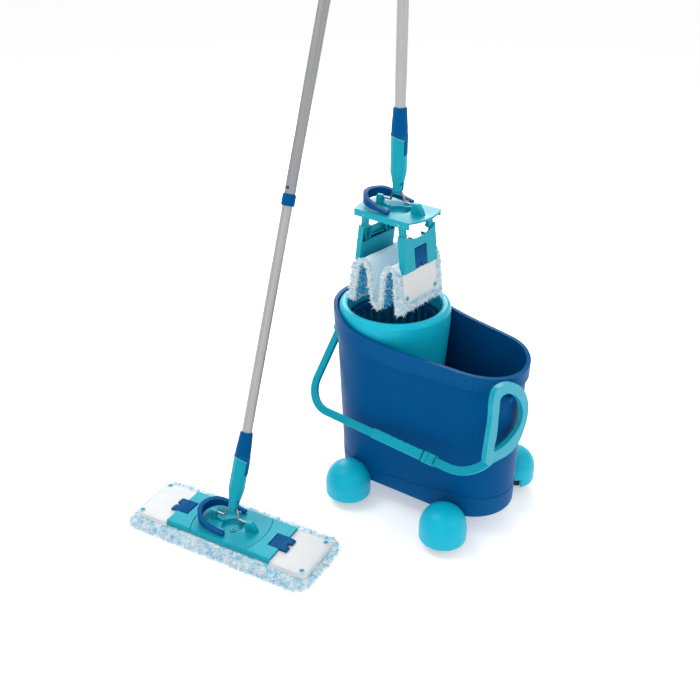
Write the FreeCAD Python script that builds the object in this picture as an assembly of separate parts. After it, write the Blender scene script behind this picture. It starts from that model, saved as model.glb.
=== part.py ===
import FreeCAD, Part
import math
import os

os.makedirs("parts", exist_ok=True)
V = FreeCAD.Vector

# ---------------------------------------------------------------- driving dimensions (mm)
OX, OY = 110.73, 162.16            # shift that puts the whole set's box centre over the origin

# bucket: two circles joined by tangents, tall end at -X
C1X, R1T, R1B = -108.0, 124.5, 113.5      # tall end: centre x, outer radius at top and at bottom
C2X, R2T, R2B = 113.0, 94.5, 93.5         # low end
C1BX, C2BX = -101.0, 110.0                # the same centres at the bottom
ZB = 49.0                                 # underside of the bucket
ZREF = 400.0                              # height where the top radii apply
WALL = 3.0
BAND = 5.5                                # how far the rim band stands out
RIM = [(-250, 441), (-238, 440), (-200, 437), (-108, 417), (0, 401.4), (100, 398), (160, 394), (213, 385), (230, 381)]
BAND_H = [(-250, 48), (0, 40), (230, 28)]  # band height against x

# wringer column, basket and drive
COLX = -108.0
COL_R, COL_TOP, COL_LIP = 120.0, 443.0, 101.0
COL_RB = 98.5
BAS_R, BAS_TOP, BAS_FLOOR = 95.0, 405.0, 176.0
N_SLAT = 30
PLUNGE = 35.0
CAR_R, CAR_Z0, CAR_Z1 = 26.0, 135.0, 200.0
SPINDLE_TOP = 245.0

# bail handle
PIV_Y, PIV_Z, PEG_R = -18.0, 341.0, 6.0
BAIL_D, BAIL_ANG = 186.0, 50.0            # reach from pivot to grip centre, hang below horizontal
BAIL_XL, BAIL_XR = -246.5, 221.5
BAIL_T = 9.5

# casters: swivel axis positions and rest direction
CAST = {"fl": (-116.0, -146.0), "fr": (136.0, -139.0), "bl": (-116.0, 146.0), "br": (136.0, 139.0)}
TRAIL, WHEEL_R, WHEEL_W = 12.0, 20.0, 11.0
TRAIL_DIR = 50.0                          # degrees from +X
DOME_R, DOME_TOP, DOME_BOT = 50.0, 97.0, 22.0

# mop head
PLATE_X, PLATE_BULGE, PLATE_Y = 68.0, 83.0, 56.0
PLATE_TOP, PLATE_BOT = 33.0, 19.5
HINGE_X, HINGE_Z = 45.0, 24.5
WING_TIP = 165.0                          # from hinge
YOKE_H = 17.0                             # wire axis over the plate
PIN_S = 28.0                              # tilt pin over the wire axis
WIRE_R = 2.2
SOCK = [(22.0, 11.0), (58.0, 16.0), (135.0, 16.6), (188.0, 13.2)]
TUBE_R, UP_R = 10.8, 11.8
RING_S, TOP_S = 674.0, 1330.0
FOLD = 83.0
A_POS = (-108.0, 0.0, 617.0)
B_POS = (-222.0, -404.0, 0.0)
B_YAW = 11.5
B_LEAN = -23.3
PAD_Y = 77.0


def box(x0, x1, y0, y1, z0, z1):
    return Part.makeBox(x1 - x0, y1 - y0, z1 - z0, V(x0, y0, z0))


def cyl(r, p, d, h):
    return Part.makeCylinder(r, h, V(*p), V(*d))


def fuse(*s):
    out = s[0]
    if len(s) > 1:
        out = out.multiFuse(list(s[1:]))
    return out.removeSplitter()


def fil(shape, r, pick):
    e = [k for k in shape.Edges if pick(k)]
    if not e:
        return shape
    try:
        out = shape.makeFillet(r, e)
        return out if out.isValid() and out.Volume > 0 else shape
    except Exception:
        return shape


def poly(points, plane, depth, at=0.0):
    """Closed polygon in a plane, extruded."""
    if plane == "xz":
        w = [V(a, at, b) for a, b in points]
        d = V(0, depth, 0)
    elif plane == "yz":
        w = [V(at, a, b) for a, b in points]
        d = V(depth, 0, 0)
    else:
        w = [V(a, b, at) for a, b in points]
        d = V(0, 0, depth)
    return Part.Face(Part.makePolygon(w + [w[0]])).extrude(d)


def lathe(points, axis_x=0.0, axis_y=0.0):
    w = [V(axis_x + r, axis_y, z) for r, z in points]
    f = Part.Face(Part.makePolygon(w + [w[0]]))
    return f.revolve(V(axis_x, axis_y, 0), V(0, 0, 1), 360)


def hull_wire(xa, ra, xb, rb, z):
    """Outline of two circles joined by their outer tangents."""
    d = xb - xa
    c = (ra - rb) / d
    s = math.sqrt(1 - c * c)
    a1, a2 = V(xa + ra * c, ra * s, z), V(xa + ra * c, -ra * s, z)
    b1, b2 = V(xb + rb * c, rb * s, z), V(xb + rb * c, -rb * s, z)
    e = [
        Part.Arc(a1, V(xa - ra, 0, z), a2).toShape(),
        Part.LineSegment(a2, b2).toShape(),
        Part.Arc(b2, V(xb + rb, 0, z), b1).toShape(),
        Part.LineSegment(b1, a1).toShape(),
    ]
    return Part.Wire(e)


def hull_loft(grow, z0, z1):
    def at(z):
        t = (z - ZB) / (ZREF - ZB)
        return hull_wire(
            C1BX + (C1X - C1BX) * t, R1B + (R1T - R1B) * t + grow,
            C2BX + (C2X - C2BX) * t, R2B + (R2T - R2B) * t + grow, z,
        )
    return Part.makeLoft([at(z0), at(z1)], True, True)


def above(points, top=700.0):
    """Everything above a curve z(x), for trimming rims."""
    b = Part.BSplineCurve()
    b.interpolate([V(x, -300, z) for x, z in points])
    (x0, _), (x1, _) = points[0], points[-1]
    p0, p1 = V(x0, -300, points[0][1]), V(x1, -300, points[-1][1])
    q0, q1 = V(x0, -300, top), V(x1, -300, top)
    w = Part.Wire([b.toShape(), Part.LineSegment(p1, q1).toShape(), Part.LineSegment(q1, q0).toShape(), Part.LineSegment(q0, p0).toShape()])
    return Part.Face(w).extrude(V(0, 600, 0))


def lin(table, x):
    for (a, b), (c, d) in zip(table, table[1:]):
        if x <= c:
            return b + (d - b) * (x - a) / (c - a)
    return table[-1][1]


parts = {}

# ================================================================ bucket
cut_top = above(RIM)
body = hull_loft(0, ZB, 460)
body = body.cut(cut_top)
inner = hull_loft(-WALL, ZB + WALL, 470)
band = hull_loft(BAND, 320, 460).cut(hull_loft(-1.0, 310, 470)).cut(cut_top)
band_low = above([(x, z - lin(BAND_H, x)) for x, z in RIM])
band = band.common(band_low)
bucket = body.fuse(band).cut(inner)
# a shallow step runs round the foot of the body
foot = hull_loft(0.8, ZB, 100).cut(hull_loft(-1.0, ZB - 5, 120))
foot_cut = above([(-230, 84), (-160, 82), (-100, 80), (0, 84), (90, 96), (130, 100), (170, 96), (230, 92)])
foot = foot.cut(foot_cut)
bucket = bucket.fuse(foot)
# pegs for the bail, one on each end, with a cheek plate on the wall
peg_r = cyl(PEG_R, (196, PIV_Y, PIV_Z), (1, 0, 0), 27.9)
peg_l = cyl(PEG_R, (-224, PIV_Y, PIV_Z), (-1, 0, 0), 33.0)
head_l = cyl(9.0, (-256.2, PIV_Y, PIV_Z), (-1, 0, 0), 2.6)
pad_r = cyl(11.0, (194, PIV_Y, PIV_Z), (1, 0, 0), 21.5)
pad_l = cyl(11.0, (-222, PIV_Y, PIV_Z), (-1, 0, 0), 15.0)
# short rest for the loop, under the rim band
rest_r = fil(box(190, 214, -48, PIV_Y, PIV_Z - 5, PIV_Z + 9), 4.0, lambda e: e.BoundBox.XLength > 20 and e.BoundBox.YMax < -40)
ends = fuse(peg_r, pad_r, rest_r).fuse(fuse(peg_l, head_l, pad_l))
ends = ends.cut(hull_loft(-1.5, ZB, 470))
bucket = bucket.fuse(ends).removeSplitter()
parts["bucket"] = bucket

# ================================================================ wringer column
zb = ZB + WALL + 0.1
col = lathe([
    (COL_RB, zb), (119.3, 392), (COL_R, 405), (COL_R, COL_TOP - 9), (COL_R - 2.6, COL_TOP - 2.9), (COL_R - 8, COL_TOP), (COL_LIP + 7, COL_TOP),
    (COL_LIP + 2.2, COL_TOP - 2.2), (COL_LIP, COL_TOP - 7), (COL_LIP - 1.4, 408), (COL_LIP + 1.4, 408), (COL_LIP + 3, 432), (COL_R - 3.2, 432), (COL_R - 3.2, 405), (116.1, 392), (COL_RB - 3, zb),
], COLX)
parts["spinner_column"] = col

# ================================================================ twisted spindle, carriage, nut, spring, basket
def square(z, a, h=5.6):
    pts = []
    for k in range(4):
        t = math.radians(a + 90 * k)
        r = h * math.sqrt(2)
        pts.append(V(COLX + r * math.cos(t), r * math.sin(t), z))
    return Part.makePolygon(pts + [pts[0]])

secs = [square(62 + (SPINDLE_TOP - 62) * k / 18.0, 22.0 * k, 4.6) for k in range(19)]
spindle = Part.makeLoft(secs, True, True)
flange = lathe([(0, zb), (34, zb), (34, 56.5), (12, 59), (12, 64), (0, 64)], COLX)
parts["drive_spindle"] = spindle.fuse(flange).removeSplitter()
carriage = lathe([(8.5, CAR_Z0), (CAR_R, CAR_Z0), (CAR_R, CAR_Z1), (CAR_R - 3.5, CAR_Z1), (CAR_R - 3.5, CAR_Z0 + 4), (8.5, CAR_Z0 + 4)], COLX)
parts["carriage"] = carriage
nut = lathe([(7.2, 150), (21.9, 150), (21.9, 164), (7.2, 164)], COLX)
for k in range(12):
    t = math.radians(30 * k)
    nut = nut.cut(cyl(1.6, (COLX + 22.2 * math.cos(t), 22.2 * math.sin(t), 149), (0, 0, 1), 16))
parts["drive_nut"] = nut
# return spring: helix between the spindle flange and the carriage
S0, S1, NT = 66.2, CAR_Z0 - 1.4, 7
coil = Part.makeHelix((S1 - S0) / NT, S1 - S0, 15.0)
circ = Part.Wire([Part.makeCircle(1.1, V(15.0, 0, 0), V(0, 1, 0.25))])
spring = Part.Wire(coil).makePipeShell([circ], True, True)
spring.translate(V(COLX, 0, S0))
parts["return_spring"] = spring
hub = lathe([(CAR_R + 0.05, 168), (30, 168), (30, 176), (30, 290), (22, 304), (0, 308), (0, 304), (20, 300.5), (CAR_R + 0.05, 289)], COLX)
floor_ = lathe([(29, 172), (90, 172), (93.5, 180), (90.5, 180), (88, BAS_FLOOR), (29, BAS_FLOOR)], COLX)
ring_t = lathe([(88.5, 392), (BAS_R - 2, 392), (BAS_R, 396), (BAS_R, BAS_TOP - 2), (BAS_R - 2, BAS_TOP), (90, BAS_TOP), (88.5, 402)], COLX)
ring_m = lathe([(90.5, 282), (93.5, 282), (93.5, 290), (90.5, 290)], COLX)
basket = floor_.multiFuse([hub, ring_t, ring_m])
slats = []
for k in range(N_SLAT):
    s = box(89.0, 93.2, -3.6, 3.6, 176, 396)
    s.rotate(V(0, 0, 0), V(0, 0, 1), 360.0 * k / N_SLAT)
    s.translate(V(COLX, 0, 0))
    slats.append(s)
basket = basket.multiFuse(slats)
parts["spin_basket"] = basket.removeSplitter()

# ================================================================ bail handle, built hanging straight out along -Y then turned down
def bail_plan(off):
    """Centre line of the bail offset sideways; x against reach."""
    rl, rr = 62.0, 82.0
    xl, xr, d = BAIL_XL, BAIL_XR, BAIL_D
    a = math.sqrt(0.5)
    pts = [
        ("p", xl - off, 0), ("p", xl - off, d - rl),
        ("a", xl + rl - (rl + off) * a, d - rl + (rl + off) * a, xl + rl, d + off),
        ("p", xr - rr, d + off),
        ("a", xr - rr + (rr + off) * a, d - rr + (rr + off) * a, xr + off, d - rr),
        ("p", xr + off, 0),
    ]
    return pts


def edges_of(pts):
    out, last = [], None
    for p in pts:
        if p[0] == "p":
            q = V(p[1], -p[2], 0)
            if last is not None:
                out.append(Part.LineSegment(last, q).toShape())
            last = q
        else:
            m, q = V(p[1], -p[2], 0), V(p[3], -p[4], 0)
            out.append(Part.Arc(last, m, q).toShape())
            last = q
    return out, last


def strip(o, i):
    eo, lo = edges_of(bail_plan(o))
    ei, li = edges_of(bail_plan(-i))
    fo, fi = eo[0].Vertexes[0].Point, ei[0].Vertexes[0].Point
    w = Part.Wire(Part.__sortEdges__(eo + ei + [Part.LineSegment(fo, fi).toShape(), Part.LineSegment(lo, li).toShape()]))
    f = Part.Face(w)
    f.translate(V(0, 0, -BAIL_T / 2))
    return f.extrude(V(0, 0, BAIL_T))


bail = strip(9.0, 9.0)
bail = fil(bail, 2.6, lambda e: e.Length > 60 and e.BoundBox.ZLength < 0.01)
# grip: thicker, with finger notches on the inner side and a collar at its right end
grip = box(-52, 76, -(BAIL_D + 10.5), -(BAIL_D - 11.5), -8.5, 8.5)
grip = fil(grip, 4.0, lambda e: e.BoundBox.XLength > 100)
for k in range(5):
    grip = grip.cut(cyl(9.0, (-6 + 17.0 * k, -(BAIL_D - 18.5), -12), (0, 0, 1), 24))
collar = box(80, 106, -(BAIL_D + 11.5), -(BAIL_D - 12.5), -9.5, 9.5)
collar = fil(collar, 4.0, lambda e: e.BoundBox.XLength > 20)
collar = collar.cut(box(90, 94, -230, -150, -12, -8)).cut(box(90, 94, -230, -150, 8, 12))
bail = bail.fuse(grip).fuse(collar)
slot = box(-40, 74, -(BAIL_D + 14), -(BAIL_D + 6.5), -4, 4)
bail = bail.cut(slot)
# left end eye
eye_l = cyl(12.0, (BAIL_XL - 9, 0, 0), (1, 0, 0), 18)
bail = bail.fuse(eye_l)
# right end: a three cornered loop in the end plane, its top hooked over the peg
T = math.radians(BAIL_ANG)


def to_bail(y, z):
    """Side view offsets from the peg in the hanging pose, to reach and height before turning."""
    return (y * math.cos(T) + z * math.sin(T) * 1.0, -y * math.sin(T) + z * math.cos(T))


def loop_face(pts, x):
    b = Part.BSplineCurve()
    q = []
    for y, z in pts:
        # turning by +T about +X takes (-1,0) to (-cos, -sin)
        yy = y * math.cos(T) + z * math.sin(T)
        zz = -y * math.sin(T) + z * math.cos(T)
        q.append(V(x, yy, zz))
    b.interpolate(q, PeriodicFlag=True)
    return Part.Face(Part.Wire([b.toShape()]))


outer_pts = [(-101, -103), (-51, -113), (-6, -110), (16, -87), (27, -56), (25, -28), (9, 6), (-19, 37), (-57, 61), (-91, 70), (-110, 67), (-117, 50), (-116, 14), (-119, -20), (-124, -60), (-119, -94)]
inner_pts = [(-93, -78), (-43, -82), (-13, -73), (4, -57), (6, -39), (-6, -10), (-24, 13), (-49, 32), (-74, 43), (-88, 42), (-91, 24), (-91, -13), (-93, -50)]
lo = loop_face(outer_pts, BAIL_XR - 5).extrude(V(10, 0, 0))
li = loop_face(inner_pts, BAIL_XR - 7).extrude(V(14, 0, 0))
# the flat strip ends inside the loop's lower front corner
trim = box(BAIL_XR - 40, BAIL_XR + 20, -136, 20, -20, 20)
bail = bail.cut(trim)
bail = bail.fuse(lo.cut(li))
# through hole at the left, blind socket at the right
bail = bail.cut(cyl(PEG_R + 0.05, (BAIL_XL - 12, 0, 0), (1, 0, 0), 24)).cut(cyl(PEG_R + 0.05, (BAIL_XR - 10, 0, 0), (1, 0, 0), 12.6))
bail = bail.removeSplitter()
bail.rotate(V(0, 0, 0), V(1, 0, 0), BAIL_ANG)
bail.translate(V(0, PIV_Y, PIV_Z))
parts["bail_handle"] = bail

# ================================================================ casters
bucket_skin = hull_loft(0.9, ZB - 20, 470)
for key, (cx, cy) in CAST.items():
    sgn = 1 if cy > 0 else -1
    arc = []
    for k in range(1, 15):
        t = math.pi / 2 * k / 14
        arc.append((DOME_R * max(math.cos(t), 0.0) ** 0.82, 46 + (DOME_TOP - 46) * math.sin(t) ** 0.9))
    arc[-1] = (0, DOME_TOP)
    dome = lathe([(0, DOME_BOT), (DOME_R - 3, DOME_BOT), (DOME_R - 0.9, DOME_BOT + 0.9), (DOME_R, DOME_BOT + 4), (DOME_R, 46)] + arc, cx, cy)
    hollow = lathe([(0, DOME_BOT - 1), (DOME_R - 4, DOME_BOT - 1), (DOME_R - 4, 46), (DOME_R - 7, 62), (DOME_R - 15, 77), (DOME_R - 28, 87), (DOME_R - 40, 91), (0, 92)], cx, cy)
    boss = cyl(9.0, (cx, cy, 43), (0, 0, 1), 52)
    keep = bucket_skin.copy()
    shell = dome.cut(hollow)
    # inner side of the hood leans on the body and has its own wall there
    back_wall = dome.common(hull_loft(4.2, ZB - 20, 200))
    shell = shell.fuse(back_wall).fuse(boss)
    shell = shell.cut(keep)
    # the wheels swing under the body, so nothing of the hood hangs down on that side
    wy = cy - sgn * 27.5
    low = box(cx - 60, cx + 60, min(wy, wy - sgn * 60), max(wy, wy - sgn * 60), 0, 43)
    shell = shell.cut(low)
    arm = box(cx - 13, cx + 13, min(cy - sgn * 6, cy - sgn * 66), max(cy - sgn * 6, cy - sgn * 66), 43, ZB - 0.1)
    tab = box(cx + 15, cx + 23, min(cy - sgn * 20, cy - sgn * 27), max(cy - sgn * 20, cy - sgn * 27), 30, 46)
    link = box(cx - 23, cx + 23, min(cy - sgn * 20, cy - sgn * 27), max(cy - sgn * 20, cy - sgn * 27), 43, ZB - 0.1)
    sweep = cyl(37.5, (cx, cy, 10), (0, 0, 1), 31.5)
    arm = arm.fuse(link).cut(keep.common(box(-400, 400, -400, 400, ZB - 0.05, 300)))
    shell = shell.fuse(arm)
    shell = shell.cut(cyl(5.05, (cx, cy, 30), (0, 0, 1), 56)).cut(sweep)
    sol = max(shell.Solids, key=lambda s: s.Volume)
    parts["caster_hood_" + key] = sol.removeSplitter()
    d = math.radians(TRAIL_DIR)
    web = box(-9, TRAIL + 9, -4, 4, 11, 41.2)
    web = fil(web, 6.0, lambda e: e.BoundBox.YLength > 7 and e.BoundBox.ZLength < 0.01 and e.BoundBox.ZMax < 12)
    stem = cyl(4.0, (0, 0, 30), (0, 0, 1), 14).fuse(cyl(5.0, (0, 0, 41.2), (0, 0, 1), 43.8))
    fork = web.fuse(stem).cut(cyl(3.05, (TRAIL, -10, WHEEL_R), (0, 1, 0), 20)).removeSplitter()
    wheels = []
    for sy in (-1, 1):
        w = cyl(WHEEL_R, (TRAIL, 4.6 if sy > 0 else -4.6 - WHEEL_W, WHEEL_R), (0, 1, 0), WHEEL_W)
        w = fil(w, 3.0, lambda e: abs(e.BoundBox.YMax * sy - (4.6 + WHEEL_W)) < 0.01 and e.BoundBox.YLength < 0.01)
        w = w.cut(cyl(3.0, (TRAIL, -20, WHEEL_R), (0, 1, 0), 40))
        wheels.append(w)
    axle = cyl(3.0, (TRAIL, -4.6 - WHEEL_W + 1, WHEEL_R), (0, 1, 0), 2 * (4.6 + WHEEL_W - 1))
    for s in [fork] + wheels + [axle]:
        s.rotate(V(0, 0, 0), V(0, 0, 1), TRAIL_DIR)
        s.translate(V(cx, cy, 0))
    parts["caster_fork_" + key] = fork
    parts["caster_wheels_" + key] = Part.makeCompound(wheels + [axle])

# ================================================================ mop head and handle, in the mop's own frame
def bulged(xe, xm, y, z0, z1, grow=0.0):
    """Plate outline with both ends bowed outwards."""
    a, b = V(xe + grow, -y, z0), V(xe + grow, y, z0)
    c, d = V(-xe - grow, y, z0), V(-xe - grow, -y, z0)
    w = Part.Wire([
        Part.LineSegment(d, a).toShape(), Part.Arc(a, V(xm + grow, 0, z0), b).toShape(),
        Part.LineSegment(b, c).toShape(), Part.Arc(c, V(-xm - grow, 0, z0), d).toShape(),
    ])
    return Part.Face(w).extrude(V(0, 0, z1 - z0))


def centre_plate():
    p = bulged(PLATE_X, PLATE_BULGE, PLATE_Y, PLATE_BOT, PLATE_TOP)
    p = fil(p, 1.8, lambda e: abs(e.BoundBox.ZMin - PLATE_TOP) < 0.01 and e.BoundBox.ZLength < 0.01)
    p = p.cut(box(-95, 95, -PLATE_Y + 3, PLATE_Y - 3, PLATE_BOT - 1, PLATE_TOP - 3.2))
    # well in the middle with a screw boss
    well = lathe([(0, 24.5), (19, 24.5), (23, 27), (24, PLATE_TOP + 1), (0, PLATE_TOP + 1)], 5, -5)
    cup = lathe([(0, 21.5), (21, 21.5), (26, 26), (26, PLATE_TOP - 1), (0, PLATE_TOP - 1)], 5, -5)
    p = p.fuse(cup).cut(well)
    p = p.fuse(cyl(6.0, (9, -9, 24), (0, 0, 1), 3.2)).cut(cyl(2.2, (9, -9, 24.6), (0, 0, 1), 5))
    # lugs that hold the wire, the right one with a long tail
    zt = PLATE_TOP + YOKE_H
    for s in (-1, 1):
        lug = poly([(-6.5, PLATE_TOP - 1), (6.5, PLATE_TOP - 1), (5.2, zt), (3.6, zt + 4), (-3.6, zt + 4), (-5.2, zt)], "yz", 13, 38 if s > 0 else -51)
        p = p.fuse(lug)
    tail = poly([(50, PLATE_TOP - 1), (66, PLATE_TOP - 1), (62, PLATE_TOP + 8), (56, zt), (50, zt + 3.9)], "xz", 11, -5.5)
    p = p.fuse(tail)
    rib = poly([(-51, PLATE_TOP - 1), (-20, PLATE_TOP - 1), (-20, PLATE_TOP + 3), (-38, PLATE_TOP + 8), (-51, PLATE_TOP + 8)], "xz", 7, -3.5)
    p = p.fuse(rib)
    rail = poly([(8, PLATE_TOP - 2), (40, PLATE_TOP - 1), (40, PLATE_TOP + 9), (30, PLATE_TOP + 8), (10, PLATE_TOP + 3)], "xz", 6, 12)
    p = p.fuse(rail)
    # ears for the pedal pivots
    for s in (-1, 1):
        ear = box(-7, 3, min(s * 31.4, s * 34.4), max(s * 31.4, s * 34.4), PLATE_TOP - 1, PLATE_TOP + 8)
        p = p.fuse(ear)
    p = p.cut(cyl(2.05, (-2, -40, PLATE_TOP + 5), (0, 1, 0), 80))
    p = p.cut(cyl(WIRE_R + 0.05, (-49, 0, zt), (1, 0, 0), 98))
    # bores for the wing pins
    for s in (-1, 1):
        p = p.cut(cyl(2.0, (s * HINGE_X, -60, HINGE_Z), (0, 1, 0), 120))
    # well must stay clear of the arms' space
    return p.removeSplitter()


def wing(s, edge):
    """Wing towards +X in the flat state; s mirrors it."""
    H = HINGE_X
    solid = box(PLATE_X + 0.8, H + 118, -PLATE_Y, PLATE_Y, 19.5, PLATE_TOP)
    solid = fil(solid, 1.8, lambda e: abs(e.BoundBox.ZMin - PLATE_TOP) < 0.01 and e.BoundBox.ZLength < 0.01)
    # hollow underneath with ribs
    hollow = box(PLATE_X + 4, H + 115, -PLATE_Y + 3, PLATE_Y - 3, 18, PLATE_TOP - 3)
    ribs = []
    for a, b in (((74, -50), (158, -18)), ((74, 50), (158, 18)), ((80, -20), (158, -50)), ((80, 20), (158, 50))):
        dx, dy = b[0] - a[0], b[1] - a[1]
        L = math.hypot(dx, dy)
        r = box(0, L, -1.1, 1.1, 20.0, PLATE_TOP - 2)
        r.rotate(V(0, 0, 0), V(0, 0, 1), math.degrees(math.atan2(dy, dx)))
        r.translate(V(a[0], a[1], 0))
        ribs.append(r)
    solid = solid.cut(hollow)
    blade = box(H + 60, H + WING_TIP, -PLATE_Y + 1.5, PLATE_Y - 1.5, 18.0, 21.0)
    blade = fil(blade, 12.0, lambda e: e.BoundBox.ZLength > 2.5 and e.BoundBox.XMin > H + WING_TIP - 1)
    # the cover's pocket slips over the outer half: it is lower there
    ramp = box(H + edge - 4, H + 118, -PLATE_Y + 1.5, PLATE_Y - 1.5, 22.3, 24.5)
    lip = box(H + edge - 4.5, H + edge - 1.5, -PLATE_Y, PLATE_Y, 20.0, PLATE_TOP - 2)
    bed = box(H + 66, H + edge - 2, -23.5, 23.5, 23.8, PLATE_TOP - 2)
    cheeks = box(H + 55, H + edge - 2, -23.5, 23.5, 24.0, PLATE_TOP - 2)
    solid = solid.multiFuse(ribs + [lip, bed, cheeks])
    solid = solid.cut(box(H + edge - 1.5, H + 121, -70, 70, 24.5, 40)).fuse(ramp)
    solid = solid.cut(box(60, 240, -PLATE_Y + 3.0, PLATE_Y - 3.0, 0, 19.6))
    solid = solid.fuse(blade)
    # arms to the hinge, lying under the centre plate
    for t in (-1, 1):
        arm = box(H, PLATE_X + 8, min(t * 38, t * 52), max(t * 38, t * 52), 20.0, 29.2)
        solid = solid.fuse(arm)
        solid = solid.fuse(cyl(5.0, (H, min(t * 38, t * 52), HINGE_Z), (0, 1, 0), 14))
    # arch that matches the bowed end of the plate
    arch = bulged(PLATE_X, PLATE_BULGE, 37.0, 0, 60, 0.8)
    arch = arch.common(box(0, 200, -37, 37, 0, 60))
    bow = bulged(PLATE_X, PLATE_BULGE, PLATE_Y, 29.4, 60, 0.8)
    skirt = bulged(PLATE_X, PLATE_BULGE, PLATE_Y, 0, 60, 0.8)
    skirt = skirt.common(box(0, 200, -60, -52.6, 0, 60).fuse(box(0, 200, 52.6, 60, 0, 60)))
    solid = solid.cut(arch).cut(bow).cut(skirt)
    solid = solid.cut(cyl(2.05, (H, -60, HINGE_Z), (0, 1, 0), 120))
    # recess for the latch and its pivot
    solid = solid.cut(box(H + 57, H + 110, -20.5, 20.5, 26.8, 40)).cut(box(H + 57, H + 69, -20.5, 20.5, 23.0, 40))
    solid = solid.cut(cyl(2.05, (H + 63, -23.5, 30.2), (0, 1, 0), 47))
    solid = max(solid.Solids, key=lambda k: k.Volume).removeSplitter()
    if s < 0:
        solid = solid.mirror(V(0, 0, 0), V(1, 0, 0))
    return solid


def latch(s):
    H = HINGE_X
    prof = [(58.5, 28.2), (66, 27.6), (80, 28.4), (92, 28.6), (98, 27.2), (102, 27.4), (102.5, 31.0), (97, 33.2), (88, 33.4), (70, 33.6), (60, 33.2)]
    f = poly([(H + a, b) for a, b in prof], "xz", 39, -19.5)
    f = fil(f, 0.9, lambda e: e.BoundBox.YLength > 30 and e.BoundBox.ZMin > 30.5)
    f = f.fuse(cyl(2.0, (H + 63, -22.9, 30.2), (0, 1, 0), 45.8))
    f = f.cut(box(H + 93, H + 110, -3.5, 3.5, 20, 40).fuse(cyl(5.0, (H + 101.5, 0, 20), (0, 0, 1), 20)))
    f = max(f.Solids, key=lambda k: k.Volume).removeSplitter()
    if s < 0:
        f = f.mirror(V(0, 0, 0), V(1, 0, 0))
    return f


def cover_wing(s, edge, end, start):
    """Half of the cover that rides on a wing: pile slab, side walls and the pocket."""
    H = HINGE_X
    slab = box(H + start, H + end, -PAD_Y, PAD_Y, 0.0, 17.6)
    slab = fil(slab, 14.0, lambda e: e.BoundBox.ZLength > 16 and e.BoundBox.XMin > H + end - 1)
    slab = fil(slab, 5.0, lambda e: abs(e.BoundBox.ZMax) < 0.01 and e.BoundBox.XMax > H + start + 2)
    wall = box(H + edge, H + WING_TIP + 3.4, -PLATE_Y - 1.8, PLATE_Y + 1.8, 17.0, 26.6)
    room = box(H + edge - 5, H + WING_TIP + 0.6, -PLATE_Y - 0.3, PLATE_Y + 0.3, 17.6, 25.0)
    wall = wall.cut(room)
    out = slab.fuse(wall)
    for y in (-42, 42):
        out = out.cut(cyl(5.0, (H + WING_TIP - 13, y, 24), (0, 0, 1), 6))
    out = out.removeSplitter()
    if s < 0:
        out = out.mirror(V(0, 0, 0), V(1, 0, 0))
    return out


def pedal():
    T_ = PLATE_TOP
    side = poly([(8, T_ + 2.0), (8, T_ + 7.5), (-20, T_ + 13), (-62, T_ + 27), (-78, T_ + 29), (-78, T_ + 10), (-6, T_ + 2.0)], "xz", 96, -48)
    def u(rx, ry, xe):
        c = -31.0
        pts = []
        w = []
        n = 16
        prev = V(xe, -ry, 0)
        w.append(Part.LineSegment(prev, V(c, -ry, 0)).toShape())
        e = Part.Ellipse(V(c, 0, 0), rx, ry) if rx >= ry else None
        pl = [V(c - rx * math.sin(math.pi * k / n), -ry * math.cos(math.pi * k / n), 0) for k in range(n + 1)]
        b = Part.BSplineCurve()
        b.interpolate(pl, InitialTangent=V(-1, 0, 0), FinalTangent=V(1, 0, 0))
        w.append(b.toShape())
        w.append(Part.LineSegment(V(c, ry, 0), V(xe, ry, 0)).toShape())
        w.append(Part.LineSegment(V(xe, ry, 0), prev).toShape())
        return Part.Face(Part.Wire(w)).extrude(V(0, 0, 120))
    ring = u(46.0, 46.0, 8).cut(u(36.5, 37.0, 20))
    p = ring.common(side)
    p = fil(p, 1.5, lambda e: e.Length > 60)
    for s in (-1, 1):
        p = p.fuse(cyl(2.0, (-2, min(s * 31.6, s * 38), PLATE_TOP + 5), (0, 1, 0), 6.4))
    return max(p.Solids, key=lambda k: k.Volume).removeSplitter()


def rod(points, r):
    out = None
    for a, b in zip(points, points[1:]):
        d = V(b[0] - a[0], b[1] - a[1], b[2] - a[2])
        c = Part.makeCylinder(r, d.Length, V(*a), d)
        out = c if out is None else out.fuse(c)
    for p in points[1:-1]:
        out = out.fuse(Part.makeSphere(r, V(*p)))
    return out.removeSplitter()


ZY = PLATE_TOP + YOKE_H


def wire_yoke():
    return rod([(-48.5, 0, ZY), (-18, 0, ZY), (-14, 0, ZY + 13), (-10, 0, ZY + 19), (10, 0, ZY + 19), (14, 0, ZY + 13), (18, 0, ZY), (48.5, 0, ZY)], WIRE_R)


def joint_block():
    b = box(-7, 7, -6, 6, ZY + 14.5, ZY + PIN_S + 6.5)
    b = fil(b, 5.0, lambda e: e.BoundBox.YLength > 11 and e.BoundBox.ZMin > ZY + PIN_S)
    b = b.cut(cyl(WIRE_R + 0.03, (-12, 0, ZY + 19), (1, 0, 0), 24))
    b = b.cut(cyl(2.55, (0, -10, ZY + PIN_S), (0, 1, 0), 20))
    return b.removeSplitter()


def turned(points):
    return lathe([(r, ZY + s) for r, s in points])


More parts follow.
